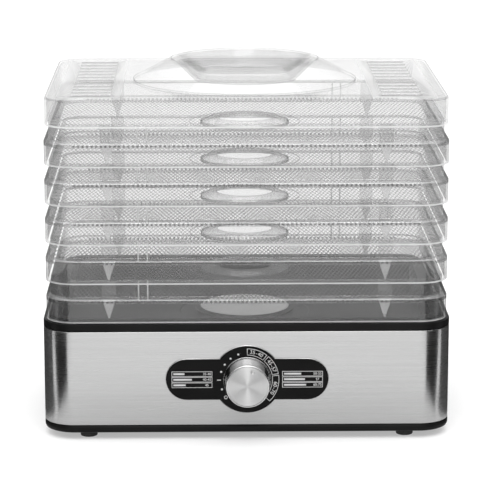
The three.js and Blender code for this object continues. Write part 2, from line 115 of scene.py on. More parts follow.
def spread(tree, value, low, high, start=0.3, end=0.7):
    """A number that runs from low to high as value runs from start to end."""
    node = tree.nodes.new("ShaderNodeMapRange")
    node.inputs["From Min"].default_value = start
    node.inputs["From Max"].default_value = end
    node.inputs["To Min"].default_value = low
    node.inputs["To Max"].default_value = high
    tree.links.new(value, node.inputs["Value"])
    return node.outputs["Result"]


def tint(tree, value, dark, light, start=0.3, end=0.7):
    ramp = tree.nodes.new("ShaderNodeValToRGB")
    ramp.color_ramp.elements[0].position = start
    ramp.color_ramp.elements[0].color = (*dark, 1)
    ramp.color_ramp.elements[1].position = end
    ramp.color_ramp.elements[1].color = (*light, 1)
    tree.links.new(value, ramp.inputs["Fac"])
    return ramp.outputs["Color"]


def bump(tree, value, height, strength=0.5):
    node = tree.nodes.new("ShaderNodeBump")
    node.inputs["Strength"].default_value = strength
    node.inputs["Distance"].default_value = height
    tree.links.new(value, node.inputs["Height"])
    return node.outputs["Normal"]


def grey(value):
    return (value, value, value)


def grained(name, dark, light, rough, grain, height, metallic=0.0, specular=0.5):
    """A surface with a fine grain: its colour, gloss and relief all vary a little."""
    material, tree, shader = new_material(name)
    fine = noise_from(tree, (grain, grain, grain), 4)
    broad = noise_from(tree, (28, 28, 28), 2)
    shader.inputs["Metallic"].default_value = metallic
    shader.inputs["Specular IOR Level"].default_value = specular
    tree.links.new(tint(tree, broad, dark, light), shader.inputs["Base Color"])
    tree.links.new(spread(tree, fine, rough[0], rough[1]), shader.inputs["Roughness"])
    tree.links.new(bump(tree, fine, height), shader.inputs["Normal"])
    return material


def clear_plastic(name, through, edge_on, veil, rough, mirror=(0.04, 0.5), power=4):
    """Thin clear moulding, one call per look. through and edge_on are the share of light that one
    face passes seen square and edge on, veil is a whitish haze, mirror the gloss in both cases.
    power says how late the change from square to edge on comes."""
    material, tree, shader = new_material(name)
    tree.nodes.remove(shader)
    output = tree.nodes["Material Output"]
    flow = noise_from(tree, (22, 22, 60), 2)
    relief = bump(tree, flow, 0.05 * MM, 0.3)
    facing = tree.nodes.new("ShaderNodeLayerWeight")
    facing.inputs["Blend"].default_value = 0.5
    steep = tree.nodes.new("ShaderNodeMath")
    steep.operation = "POWER"
    steep.inputs[1].default_value = power
    tree.links.new(facing.outputs["Facing"], steep.inputs[0])
    passed = tree.nodes.new("ShaderNodeBsdfTransparent")
    colour = tint(tree, steep.outputs["Value"], grey(through), grey(edge_on), 0.0, 1.0)
    tree.links.new(colour, passed.inputs["Color"])
    milky = tree.nodes.new("ShaderNodeBsdfDiffuse")
    milky.inputs["Color"].default_value = (*grey(0.85), 1)
    body = tree.nodes.new("ShaderNodeMixShader")
    tree.links.new(spread(tree, flow, veil * 0.85, veil * 1.15), body.inputs["Fac"])
    tree.links.new(passed.outputs["BSDF"], body.inputs[1])
    tree.links.new(milky.outputs["BSDF"], body.inputs[2])
    gloss = tree.nodes.new("ShaderNodeBsdfGlossy")
    tree.links.new(spread(tree, flow, rough[0], rough[1]), gloss.inputs["Roughness"])
    tree.links.new(relief, gloss.inputs["Normal"])
    whole = tree.nodes.new("ShaderNodeMixShader")
    tree.links.new(spread(tree, steep.outputs["Value"], *mirror, 0, 1), whole.inputs["Fac"])
    tree.links.new(body.outputs["Shader"], whole.inputs[1])
    tree.links.new(gloss.outputs["BSDF"], whole.inputs[2])
    tree.links.new(whole.outputs["Shader"], output.inputs["Surface"])
    return material


def brushed_steel():
    """Stainless sheet with fine lines along the band, a few of them deeper than the rest."""
    material, tree, shader = new_material("brushed_steel")
    lines = noise_from(tree, (9, 9, 5200), 3, 0.6)
    streaks = noise_from(tree, (5, 5, 900), 2)
    shader.inputs["Metallic"].default_value = 1.0
    shader.inputs["Anisotropic"].default_value = 0.9
    shader.inputs["Anisotropic Rotation"].default_value = 0.25
    tree.links.new(tint(tree, streaks, grey(0.455), grey(0.485)), shader.inputs["Base Color"])
    tree.links.new(spread(tree, lines, 0.24, 0.34), shader.inputs["Roughness"])
    tree.links.new(bump(tree, lines, 0.006 * MM, 0.3), shader.inputs["Normal"])
    tangent = tree.nodes.new("ShaderNodeTangent")
    tangent.direction_type = "RADIAL"
    tangent.axis = "Z"
    tree.links.new(tangent.outputs["Tangent"], shader.inputs["Tangent"])
    return material


def spun_metal(name, axis, centre, base, rough, stretch=0.85):
    """Metal turned or spun about an axis: fine rings round it."""
    material, tree, shader = new_material(name)
    where = tree.nodes.new("ShaderNodeTexCoord")
    move = tree.nodes.new("ShaderNodeVectorMath")
    move.operation = "SUBTRACT"
    move.inputs[1].default_value = centre
    tree.links.new(where.outputs["Object"], move.inputs[0])
    flat = tree.nodes.new("ShaderNodeVectorMath")
    flat.operation = "MULTIPLY"
    flat.inputs[1].default_value = tuple(0 if i == axis else 1 for i in range(3))
    tree.links.new(move.outputs["Vector"], flat.inputs[0])
    length = tree.nodes.new("ShaderNodeVectorMath")
    length.operation = "LENGTH"
    tree.links.new(flat.outputs["Vector"], length.inputs[0])
    rings = tree.nodes.new("ShaderNodeTexNoise")
    rings.noise_dimensions = "1D"
    rings.inputs["Scale"].default_value = 2600
    rings.inputs["Detail"].default_value = 3
    tree.links.new(length.outputs["Value"], rings.inputs["W"])
    shader.inputs["Metallic"].default_value = 1.0
    shader.inputs["Anisotropic"].default_value = stretch
    shader.inputs["Anisotropic Rotation"].default_value = 0.25
    tree.links.new(
        tint(tree, rings.outputs["Fac"], grey(base * 0.86), grey(base)),
        shader.inputs["Base Color"],
    )
    tree.links.new(
        spread(tree, rings.outputs["Fac"], rough, rough + 0.08), shader.inputs["Roughness"]
    )
    tree.links.new(bump(tree, rings.outputs["Fac"], 0.02 * MM, 0.3), shader.inputs["Normal"])
    tangent = tree.nodes.new("ShaderNodeTangent")
    tangent.direction_type = "RADIAL"
    tangent.axis = "XYZ"[axis]
    tree.links.new(tangent.outputs["Tangent"], shader.inputs["Tangent"])
    return material


knob_low, knob_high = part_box("knob_body")
KNOB_Z = (knob_low.z + knob_high.z) / 2

MATERIAL = {
    "black_plastic": grained(
        "black_plastic", grey(0.005), grey(0.008), (0.38, 0.5), 2600, 0.03 * MM, specular=0.1
    ),
    "brushed_steel": brushed_steel(),
    "light_grey_plastic": grained(
        "light_grey_plastic", grey(0.50), grey(0.58), (0.38, 0.5), 1800, 0.02 * MM
    ),
    "sheet_metal": grained(
        "sheet_metal", grey(0.42), grey(0.56), (0.3, 0.48), 400, 0.03 * MM, metallic=1.0
    ),
    "mica_card": grained(
        "mica_card", (0.42, 0.35, 0.22), (0.62, 0.54, 0.4), (0.35, 0.6), 300, 0.05 * MM
    ),
    "coil_wire": grained(
        "coil_wire", (0.12, 0.09, 0.07), (0.28, 0.22, 0.17), (0.4, 0.6), 900, 0.05 * MM, metallic=0.8
    ),
    "bright_steel": spun_metal(
        "bright_steel", 2, (0, (cad_low.y + cad_high.y) / 2, 0), 0.62, 0.2
    ),
    "fan_plastic": grained(
        "fan_plastic", grey(0.022), grey(0.035), (0.4, 0.55), 1500, 0.03 * MM
    ),
    "ceramic_white": grained(
        "ceramic_white", (0.66, 0.65, 0.6), (0.78, 0.77, 0.73), (0.18, 0.3), 500, 0.03 * MM
    ),
    "thermostat_body": grained(
        "thermostat_body", (0.07, 0.045, 0.03), (0.12, 0.08, 0.055), (0.35, 0.5), 1200, 0.03 * MM
    ),
    "satin_chrome": spun_metal("satin_chrome", 1, (0, 0, KNOB_Z), 0.62, 0.09),
    "spun_aluminium": spun_metal("spun_aluminium", 1, (0, 0, KNOB_Z), 0.62, 0.42, 0.97),
    "gloss_black": grained(
        "gloss_black", grey(0.004), grey(0.006), (0.06, 0.1), 60, 0.01 * MM, specular=0.07
    ),
    "print_white": grained(
        "print_white", grey(0.62), grey(0.7), (0.4, 0.5), 3000, 0.005 * MM
    ),
    "black_rubber": grained(
        "black_rubber", grey(0.014), grey(0.022), (0.6, 0.78), 2200, 0.05 * MM
    ),
    "wire_insulation": grained(
        "wire_insulation", (0.3, 0.04, 0.03), (0.38, 0.06, 0.05), (0.4, 0.55), 1500, 0.02 * MM
    ),
    "zinc_screw": grained(
        "zinc_screw", (0.45, 0.45, 0.42), (0.58, 0.58, 0.55), (0.25, 0.4), 900, 0.02 * MM, metallic=1.0
    ),
}

# The looks of the clear mouldings, with the numbers that clear_plastic takes after the name
POLISHED = (0.02, 0.06)
SATIN = (0.05, 0.12)
FROSTING = (0.3, 0.45)
CLEAR_LOOKS = {
    "clear_plastic": (0.915, 0.6, 0.03, POLISHED, (0.04, 0.3)),
    "lid_plastic": (0.99, 0.93, 0.004, POLISHED),
    "frosted_plastic": (0.92, 0.84, 0.09, FROSTING),
    "mesh_plastic": (0.92, 0.84, 0.05, SATIN, (0.03, 0.15)),
    "rib_plastic": (0.95, 0.75, 0.3, (0.1, 0.2), (0.06, 0.3)),
    # painted highlight: about half of each face is a white diffuse veil, so the edges it goes on glow
    # white as lit, polished edges would
    "edge_highlight_plastic": (0.9, 0.8, 0.5, SATIN, (0.04, 0.4)),
    # painted shade: a darker copy of the clear plastic, for the wall tops and rounded edges that
    # refraction would darken
    "rim_shade_plastic": (0.84, 0.52, 0.02, POLISHED, (0.08, 0.4)),
    # painted shade: a darker copy of the clear plastic, for the hub's sloping band
    "slope_shade_plastic": (0.93, 0.45, 0.1, POLISHED, (0.1, 0.2)),
    # painted shade: passes almost no light edge on, which darkens the flange to a line; its gloss is a
    # real reflection
    "flange_shade_plastic": (0.9, 0.03, 0.1, POLISHED, (0.14, 0.1), 1.6),
    # painted shade: the beads pass only half the light, dark dots where the bar ends meet the skirt
    "bead_shade_plastic": (0.5, 0.4, 0.05, POLISHED, (0.04, 0.1)),
    # painted shade: passes no light edge on, a dark line along the skirt's step and the hub's steps
    "step_shade_plastic": (0.9, 0.0, 0.01, POLISHED, (0.04, 0.1), 1.2),
    "pad_plastic": (0.9, 0.82, 0.06, FROSTING),
    "lid_skirt_plastic": (0.985, 0.8, 0.03, POLISHED, (0.04, 0.2)),
    # painted shade: a darker copy of the lid plastic, for its rounded edges
    "lid_rim_shade_plastic": (0.8, 0.5, 0.02, POLISHED, (0.04, 0.4)),
    # painted shade: a darker copy of the lid plastic, for the finger pocket walls
    "pocket_shade_plastic": (0.92, 0.55, 0.02, POLISHED, (0.02, 0.25)),
}
for look, numbers in CLEAR_LOOKS.items():
    MATERIAL[look] = clear_plastic(look, *numbers)


# ---------------------------------------------------------------- mesh helpers


def rounded_rectangle(half_x, half_y, radius, steps):
    """Points about the origin, counter-clockwise seen from above."""
    points = []
    for sx, sy, start in ((1, -1, -90), (1, 1, 0), (-1, 1, 90), (-1, -1, 180)):
        for i in range(steps + 1):
            angle = math.radians(start + 90 * i / steps)
            x = sx * (half_x - radius) + radius * math.cos(angle)
            y = sy * (half_y - radius) + radius * math.sin(angle)
            points.append((x, y))
    return points


def circle(radius, count, x=0.0, y=0.0):
    angles = [FULL * i / count for i in range(count)]
    return [(x + radius * math.cos(a), y + radius * math.sin(a)) for a in angles]


def ring(mesh, points, z, centre_y=0.0):
    return [mesh.verts.new((x, y + centre_y, z)) for x, y in points]


def skin(mesh, low, high, material=0):
    """Faces between two rings of the same number of points."""
    count = len(low)
    for i in range(count):
        j = (i + 1) % count
        face = mesh.faces.new((low[i], low[j], high[j], high[i]))
        face.material_index = material


def swept(mesh, outline, profile, steps, z0=0.0, closed=True, looks=None):
    """Carries a profile of (inset, height) points in mm round a rounded rectangle.
    looks gives the material number of the profile's steps that don't take the first one."""
    looks = looks or {}
    half_x, half_y, radius, centre_y = outline
    rings = []
    for inset, height in profile:
        d = inset * MM
        points = rounded_rectangle(half_x - d, half_y - d, max(radius - d, 0.3 * MM), steps)
        rings.append(ring(mesh, points, z0 + height * MM, centre_y))
    for i, (low, high) in enumerate(zip(rings, rings[1:])):
        skin(mesh, low, high, looks.get(i, 0))
    if closed:
        skin(mesh, rings[-1], rings[0], looks.get(len(rings) - 1, 0))
    return rings


def lathe(mesh, profile, place, sides, closed=True, material=0, looks=None):
    """Turns (radius, height) points in mm about an axis; place(radius, angle, height) gives a point."""
    looks = looks or {}
    rings = []
    for radius, height in profile:
        if radius < 1e-6:
            rings.append([mesh.verts.new(place(0, 0, height * MM))])
            continue
        rings.append(
            [mesh.verts.new(place(radius * MM, FULL * i / sides, height * MM)) for i in range(sides)]
        )
    pairs = list(zip(rings, rings[1:]))
    if closed:
        pairs.append((rings[-1], rings[0]))
    for step, (low, high) in enumerate(pairs):
        for i in range(sides):
            j = (i + 1) % sides
            corners = []
            for row, at in ((low, i), (low, j), (high, j), (high, i)):
                vert = row[at % len(row)]
                if vert not in corners:
                    corners.append(vert)
            if len(corners) > 2:
                mesh.faces.new(corners).material_index = looks.get(step, material)


def upright(x, y, z):
    """Places lathe points about a vertical axis."""
    return lambda r, a, h: (x + r * math.cos(a), y + r * math.sin(a), z + h)


def forward(x, y, z):
    """Places lathe points about an axis along Y; height runs towards the front."""
    return lambda r, a, h: (x + r * math.cos(a), y - h, z + r * math.sin(a))


def box_between(mesh, low, high, material=0):
    made = bmesh.ops.create_cube(mesh, size=1.0)
    size = Vector(high) - Vector(low)
    middle = (Vector(high) + Vector(low)) / 2
    for vert in made["verts"]:
        vert.co = Vector(c * s for c, s in zip(vert.co, size)) + middle
    for face in {f for v in made["verts"] for f in v.link_faces}:
        face.material_index = material


def prism(mesh, points, push, material=0):
    """A flat outline of 3-D points pushed along a vector into a solid."""
    near = [mesh.verts.new(p) for p in points]
    far = [mesh.verts.new(Vector(p) + Vector(push)) for p in points]
    mesh.faces.new(near).material_index = material
    mesh.faces.new(list(reversed(far))).material_index = material
    skin(mesh, near, far, material)


def fill_between(mesh, loops, material=0):
    """Fills the flat area between an outer loop and the loops of its holes."""
    edges = []
    for loop in loops:
        for a, b in zip(loop, loop[1:] + loop[:1]):
            edges.append(mesh.edges.get((a, b)) or mesh.edges.new((a, b)))
    made = bmesh.ops.triangle_fill(mesh, use_beauty=True, use_dissolve=False, edges=edges)
    for piece in made["geom"]:
        if isinstance(piece, bmesh.types.BMFace):
            piece.material_index = material


def to_object(name, mesh, slots, angle=35, outward=True):
    if outward:
        bmesh.ops.recalc_face_normals(mesh, faces=mesh.faces[:])
    data = bpy.data.meshes.new(name)
    mesh.to_mesh(data)
    mesh.free()
    data.shade_smooth()
    data.set_sharp_from_angle(angle=math.radians(angle))
    for slot in slots:
        data.materials.append(MATERIAL[slot])
    piece = bpy.data.objects.new(name, data)
    scene.collection.objects.link(piece)
    return piece


def soften(piece, width, segments, angle=25, material=-1):
    """Rounds the sharp edges of a moulding; the rounded strips can take a material of their own."""
    modifier = piece.modifiers.new("edges", "BEVEL")
    modifier.width = width * MM
    modifier.segments = segments
    modifier.limit_method = "ANGLE"
    modifier.angle_limit = math.radians(angle)
    modifier.use_clamp_overlap = True
    modifier.material = material


def thicken(piece, thickness, offset=-1.0):
    modifier = piece.modifiers.new("wall", "SOLIDIFY")
    modifier.thickness = thickness * MM
    modifier.offset = offset
    modifier.use_even_offset = True


def attach(piece, body, slot, *nodes):
    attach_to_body(piece, body)
    if nodes:
        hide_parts(*nodes)


def outline_of(node, radius):
    low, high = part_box(node)
    return (high.x - low.x) / 2, (high.y - low.y) / 2, radius * MM, (high.y + low.y) / 2


# ---------------------------------------------------------------- base

band_low, band_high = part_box("steel_band")
CENTRE_Y = (band_low.y + band_high.y) / 2
BASE = outline_of("steel_band", 26)
PAN_SHEET = 2.5
INTAKE_RADIUS = 38
INTAKE_PITCH = 14
INTAKE_HALF = 4
LEDGE_Z = 97
WELL_Z = 78
WELL_INSET = 15.6
WELL_STEP_RADIUS = 56
OUTLET_RADIUS = 30
OUTLET_POST = 24.5


def make_pan():
    low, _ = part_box("base_pan")
    bottom = low.z
    mesh = bmesh.new()
    profile = [(0, 6.4), (0, 2.4), (0.7, 0.8), (2.2, 0)]
    rings = swept(mesh, BASE, profile, 14, bottom, closed=False)
    holes = []
    for i in range(-2, 3):
        y = i * INTAKE_PITCH
        reach = math.sqrt(INTAKE_RADIUS**2 - y**2) * MM
        near, far = (y - INTAKE_HALF) * MM, (y + INTAKE_HALF) * MM
        slot = [(-reach, near), (reach, near), (reach, far), (-reach, far)]
        holes.append(ring(mesh, slot, bottom, CENTRE_Y))
    for n in range(1, 5):
        screw_low, screw_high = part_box(f"pan_screw_{n}")
        middle = (screw_low + screw_high) / 2
        holes.append(ring(mesh, circle(4 * MM, 24, middle.x, middle.y), bottom))
    fill_between(mesh, [rings[-1], *holes])
    piece = to_object("pan_shell", mesh, ["black_plastic"])
    soften(piece, 0.4, 2)
    thicken(piece, PAN_SHEET)
    attach(piece, "base", "black_plastic", "base_pan")


def make_band():
    height = (band_high.z - band_low.z) / MM
    mesh = bmesh.new()
    profile = [
        (0.35, 0),
        (0, 0.35),
        (0, height - 0.45),
        (0.15, height - 0.12),
        (0.4, height),
        (0.8, height),
        (0.8, 0),
    ]
    swept(mesh, BASE, profile, 20, band_low.z)
    piece = to_object("band_sheet", mesh, ["brushed_steel"], 50)
    attach(piece, "base", "brushed_steel", "steel_band")


def make_cover():
    _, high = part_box("top_cover")
    top = high.z / MM - LEDGE_Z
    mesh = bmesh.new()
    profile = [
        (0, -5.8),
        (0, 0),
        (6.5, 0),
        (6.5, top),
        (15.5, top),
        (15.8, WELL_Z - LEDGE_Z),
        (13.5, WELL_Z - 2 - LEDGE_Z),
        (13.5, top - 2),
        (8.5, top - 2),
        (8.5, -2.2),
        (2.5, -2.2),
        (2.5, -5.8),
    ]
    swept(mesh, BASE, profile, 14, LEDGE_Z * MM)
    piece = to_object("cover_shell", mesh, ["black_plastic"])
    soften(piece, 0.7, 3)
    attach(piece, "base", "black_plastic", "top_cover")


def make_well_floor():
    _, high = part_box("well_floor")
    mesh = bmesh.new()
    half_x, half_y, radius, centre_y = BASE
    inset = WELL_INSET * MM
    points = rounded_rectangle(half_x - inset, half_y - inset, radius - inset, 10)
    top, sunk, bottom = high.z, high.z - 0.7 * MM, high.z - 2 * MM
    outer = ring(mesh, points, top, centre_y)
    under = ring(mesh, points, bottom, centre_y)
    step = ring(mesh, circle(WELL_STEP_RADIUS * MM, 72), top, centre_y)
    step_in = ring(mesh, circle((WELL_STEP_RADIUS - 1) * MM, 72), sunk, centre_y)
    hole = ring(mesh, circle(OUTLET_RADIUS * MM, 72), sunk, centre_y)
    hole_under = ring(mesh, circle(OUTLET_RADIUS * MM, 72), bottom, centre_y)
    fill_between(mesh, [outer, step])
    skin(mesh, step, step_in)
    skin(mesh, step_in, hole)
    skin(mesh, hole, hole_under)
    fill_between(mesh, [under, hole_under])
    skin(mesh, outer, under)
    piece = to_object("well_plate", mesh, ["black_plastic"])
    attach(piece, "base", "black_plastic", "well_floor")


def make_outlet():
    _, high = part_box("outlet_disc")
    mesh = bmesh.new()
    place = upright(0, CENTRE_Y, high.z)
    lathe(mesh, [(0, 0), (20, 0), (36.6, 0), (37.6, -0.25), (38, -0.7)], place, 96, closed=False)
    lathe(
        mesh,
        [(38, -0.7), (38.4, -0.9), (41.6, -1.5), (42.6, -1.8), (42.6, -2.4), (40, -2.4), (0, -1.9)],
        place,
        96,
        closed=False,
        material=1,
    )
    bmesh.ops.remove_doubles(mesh, verts=mesh.verts[:], dist=1e-6)
    for sx in (-1, 1):
        for sy in (-1, 1):
            lathe(
                mesh,
                [(0, -9), (2, -9), (2, -1.9), (0, -1.9)],
                upright(sx * OUTLET_POST * MM, CENTRE_Y + sy * OUTLET_POST * MM, high.z),
                20,
                closed=False,
                material=1,
            )
    piece = to_object("outlet_cap", mesh, ["light_grey_plastic", "black_plastic"], 40)
    attach(piece, "base", "light_grey_plastic", "outlet_disc")


def make_feet():
    for n in range(1, 5):
        low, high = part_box(f"foot_{n}")
        middle = (low + high) / 2
        mesh = bmesh.new()
        profile = [
            (0, 0.5),
            (3.6, 0.5),
            (4.1, 0),
            (6.2, 0),
            (6.75, 0.25),
            (7, 0.9),
            (7, 4.6),
            (6.7, 5.2),
            (2.2, 5.2),
            (2.2, 8.3),
            (3.4, 8.3),
            (2.2, 10.5),
            (0, 10.5),
        ]
        lathe(mesh, profile, upright(middle.x, middle.y, low.z), 40, closed=False)
        piece = to_object(f"foot_pad_{n}", mesh, ["black_rubber"], 40)
        attach(piece, "base", "black_rubber", f"foot_{n}")


def make_gland():
    low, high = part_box("cord_gland")
    middle = (low + high) / 2
    back = band_high.y
    mesh = bmesh.new()
    profile = [(3.4, 6), (6, 6), (6, -0.3), (9, -0.3), (9.2, -0.8), (8.2, -3), (4.2, -3), (3.4, -2.4)]
    lathe(mesh, profile, forward(middle.x, back, middle.z), 48)
    piece = to_object("gland_bush", mesh, ["black_rubber"], 30)
    attach(piece, "base", "black_rubber", "cord_gland")


make_pan()
make_band()
make_cover()
make_well_floor()
make_outlet()
make_feet()
make_gland()


# ---------------------------------------------------------------- trays

TRAY = outline_of("tray_3_frame", 24)
TRAY_COUNT = 5
SKIRT = 19
WALL_TOP = 16
WALL_INSET = 4
SHEET = 2
RIB_X = 112
RIB_HALF = 5.75
RIB_TIP = 1.2
PAD_DEPTH = 2.4
KEY_X = 84.3
KEY_EDGES = (-4.3, 3.1)
KEY_WIDTH = 1.2
BEAD_HALF = Vector((0.9, 0.5, 0.75))
BEAD_INSET = 1.2
BEAD_Z = -1.6
MESH_PITCH = 3.65 * MM
MESH_ROW = 7.3 * MM
MESH_BAR = 0.8 * MM
# Each layer of bars: which way it slants, its bottom and its top
MESH_LAYERS = ((1, -2.1, -1.4), (-1, -1.8, -1.1))
MESH_INSET = 5.9 * MM
MESH_HOLE = 36.5 * MM
SPAN_STEP = MM / 2
SHELL_LOOKS = [
    "clear_plastic",
    "edge_highlight_plastic",
    "pad_plastic",
    "rim_shade_plastic",
    "flange_shade_plastic",
    "rib_plastic",
    "step_shade_plastic",
]
# slot numbers in SHELL_LOOKS: the edge slot is a painted highlight, the rim, flange and step slots are
# painted shade
LIT_EDGE, PAD, SHADED_RIM, SHADED_FLANGE, RIB, SHADED_STEP = 1, 2, 3, 4, 5, 6
FLOOR_LOOKS = ["mesh_plastic", "clear_plastic", "slope_shade_plastic", "step_shade_plastic"]
# the hub's slope and step slots are painted shade
HUB, HUB_SHADED_SLOPE, HUB_SHADED_STEP = 1, 2, 3


def wedge_rib(mesh, x, y, drop, side, material=0):
    """A tapered rib below z = 0 with its narrow end down, 2 mm thick along Y."""
    left = [(-RIB_HALF, 0), (-RIB_TIP, 1 - drop), (-RIB_TIP, -drop)]
    outline = left + [(-a, b) for a, b in reversed(left)]
    points = [(x + a * MM, y, b * MM) for a, b in outline]
    prism(mesh, points, (0, side * SHEET * MM, 0), material)


def upright_strip(mesh, x0, x1, face, side, z0, z1, material=0):
    """A strip on the inside of a wall that faces along Y; side is 1 at the back, -1 in front."""
    other = face - side * PAD_DEPTH * MM
    low = (x0 * MM, min(face, other), z0 * MM)
    high = (x1 * MM, max(face, other), z1 * MM)
    box_between(mesh, low, high, material)


def tray_shell_mesh():
    """Skirt, flange and wall in one closed profile, with its ribs and pads. z = 0 is the flange."""
    mesh = bmesh.new()
    inside = WALL_INSET + SHEET
    profile = [
        (0, -SKIRT),
        (0, 1 - SKIRT),
        (0, -3),
        (0, -0.3),
        (0.4, 0.3),
        (WALL_INSET, 2.4),
        (WALL_INSET, WALL_TOP - 1.2),
        (WALL_INSET, WALL_TOP),
        (inside, WALL_TOP),
        (inside, WALL_TOP - 1.2),
        (inside, -4),
        (WALL_INSET, -4),
        (WALL_INSET, -2),
        (SHEET, -2),
        (SHEET, 1 - SKIRT),
        (SHEET, -SKIRT),
    ]
    # the skirt's bottom edges take the painted highlight; the top of the skirt, the flange and the wall
    # top take painted shade
    looks = {0: LIT_EDGE, 2: SHADED_STEP, 3: SHADED_FLANGE, 4: SHADED_FLANGE, 6: SHADED_RIM, 7: SHADED_RIM, 8: SHADED_RIM, 14: LIT_EDGE, 15: LIT_EDGE}
    swept(mesh, TRAY, profile, 12, looks=looks)
    _, half_y, _, centre_y = TRAY
    for sx in (-1, 1):
        for sy in (-1, 1):
            x = sx * RIB_X
            wall = centre_y + sy * (half_y - WALL_INSET * MM)
            wedge_rib(mesh, x * MM, wall, 15.7, -sy, RIB)
            upright_strip(mesh, x - RIB_HALF, x + RIB_HALF, wall, sy, 0.2, 15.4, PAD)
    return mesh


def bead_places():
    """The ends of the mesh bars, which show as a row of beads just under the flange."""
    half_x, half_y, radius, _ = TRAY
    places = []
    for half, other, along in ((half_x, half_y, "x"), (half_y, half_x, "y")):
        count = int((half - radius) / MESH_PITCH)
        for i in range(-count, count + 1):
            for side in (-1, 1):
                a, b = i * MESH_PITCH, side * (other - BEAD_INSET * MM)
                places.append((a, b, along) if along == "x" else (b, a, along))
    return places


def tray_detail_mesh():
    """The upright keys inside the wall, and the beads that the mesh bars end in."""
    mesh = bmesh.new()
    _, half_y, _, centre_y = TRAY
    for side in (-1, 1):
        wall = centre_y + side * (half_y - (WALL_INSET + SHEET) * MM)
        for edge in KEY_EDGES:
            x = side * KEY_X + edge
            upright_strip(mesh, x, x + KEY_WIDTH, wall, side, -1, 15)
    for x, y, along in bead_places():
        half = BEAD_HALF if along == "x" else BEAD_HALF.yxz
        middle = Vector((x, y + centre_y, BEAD_Z * MM))
        # the beads wear the painted-shade look
        box_between(mesh, middle - half * MM, middle + half * MM, 1)
    return mesh


def inside_span(point, step, half_x, half_y, radius):
    """The part of a line through the tray's middle plane that lies inside a rounded rectangle."""
    low, high = None, None
    count = int((half_x + half_y) / SPAN_STEP)
    for i in range(-count, count + 1):
        x, y = point[0] + step[0] * i * SPAN_STEP, point[1] + step[1] * i * SPAN_STEP
        over_x, over_y = abs(x) - (half_x - radius), abs(y) - (half_y - radius)
        inside = abs(x) <= half_x and abs(y) <= half_y
        if over_x > 0 and over_y > 0:
            inside = math.hypot(over_x, over_y) <= radius
        if inside:
            low = i if low is None else low
            high = i
    return (low * SPAN_STEP, high * SPAN_STEP) if low is not None and high > low else None


def slanted_bar(mesh, start, end, width, z0, z1):
    along = (end - start).normalized()
    side = Vector((-along.y, along.x)) * width / 2
    corners = [start - side, end - side, end + side, start + side]
    prism(mesh, [(c.x, c.y, z0) for c in corners], (0, 0, z1 - z0))


def tray_floor_mesh():
    """The food mesh: bars crossed at a slant, with a smooth ring and a raised hub in the middle."""
    mesh = bmesh.new()
    half_x, half_y, radius, centre_y = TRAY
    reach_x, reach_y, corner = half_x - MESH_INSET, half_y - MESH_INSET, radius - MESH_INSET
    for turn, z0, z1 in MESH_LAYERS:
        along = Vector((MESH_PITCH / 2 * turn, MESH_ROW)).normalized()
        across = Vector((along.y, -along.x))
        pitch = MESH_PITCH * along.y
        bars = int((reach_x + reach_y) / pitch)
        for i in range(-bars, bars + 1):
            offset = across * (i * pitch)
            span = inside_span(offset, along, reach_x, reach_y, corner)
            if span is None:
                continue
            pieces = [span]
            if abs(i * pitch) < MESH_HOLE:
                inner = math.sqrt(MESH_HOLE**2 - (i * pitch) ** 2)
                pieces = [(span[0], -inner), (inner, span[1])]
            for begin, end in pieces:
                start = Vector((0, centre_y)) + offset + along * begin
                stop = Vector((0, centre_y)) + offset + along * end
                slanted_bar(mesh, start, stop, MESH_BAR, z0 * MM, z1 * MM)
    profile = [
        (24, 2.7),
        (29.2, 2.7),
        (30, 2.4),
        (36.3, -0.7),
        (37, -1),
        (37.6, -1),
        (37.6, -3.2),
        (36, -3.2),
        (28.6, 0.6),
        (24, 0.6),
    ]
    # the hub's slope and step wear the painted-shade looks
    looks = {1: HUB_SHADED_SLOPE, 2: HUB_SHADED_SLOPE, 3: HUB_SHADED_STEP, 5: HUB_SHADED_STEP, 9: HUB_SHADED_SLOPE}
    middle = upright(0, centre_y, 0)
    lathe(mesh, profile, middle, 80, material=HUB, looks=looks)
    lathe(mesh, [(46.6, -0.9), (47.2, -0.9), (47.2, -2.1), (46.6, -2.1)], middle, 80)
    return mesh


def make_trays():
    """Five trays that share three meshes: shell, food mesh, and keys with beads."""
    shell = to_object("tray_shell_1", tray_shell_mesh(), SHELL_LOOKS, 30)
    floor = to_object("tray_mesh_1", tray_floor_mesh(), FLOOR_LOOKS, 30)
    # the keys wear the painted-highlight look, the beads a painted-shade look
    keys = to_object("tray_keys_1", tray_detail_mesh(), ["edge_highlight_plastic", "bead_shade_plastic"], 30)
    sources = (("shell", shell, ["frame"]), ("mesh", floor, ["floor", "hub"]), ("keys", keys, []))
    for n in range(1, TRAY_COUNT + 1):
        low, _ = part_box(f"tray_{n}_frame")
        for part, source, nodes in sources:
            piece = source
            if n > 1:
                piece = bpy.data.objects.new(f"tray_{part}_{n}", source.data)
                scene.collection.objects.link(piece)
            piece.location.z = low.z + SKIRT * MM
            if part == "shell":
                # the rounded strips wear the darker rim look, which is painted shade
                soften(piece, 0.3, 2, 40, SHADED_RIM)
            attach(piece, f"tray_{n}", "clear_plastic", *(f"tray_{n}_{node}" for node in nodes))


make_trays()


# ---------------------------------------------------------------- lid

LID = outline_of("lid_box", 23)
lid_low, lid_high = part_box("lid_box")
LID_TOP = lid_high.z
_, dome_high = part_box("lid_dome")
DOME_TOP = dome_high.z
LID_SHEET = 1.9
DOME_FOOT = 94
DOME_RIM = 62
DOME_SIDES = 96
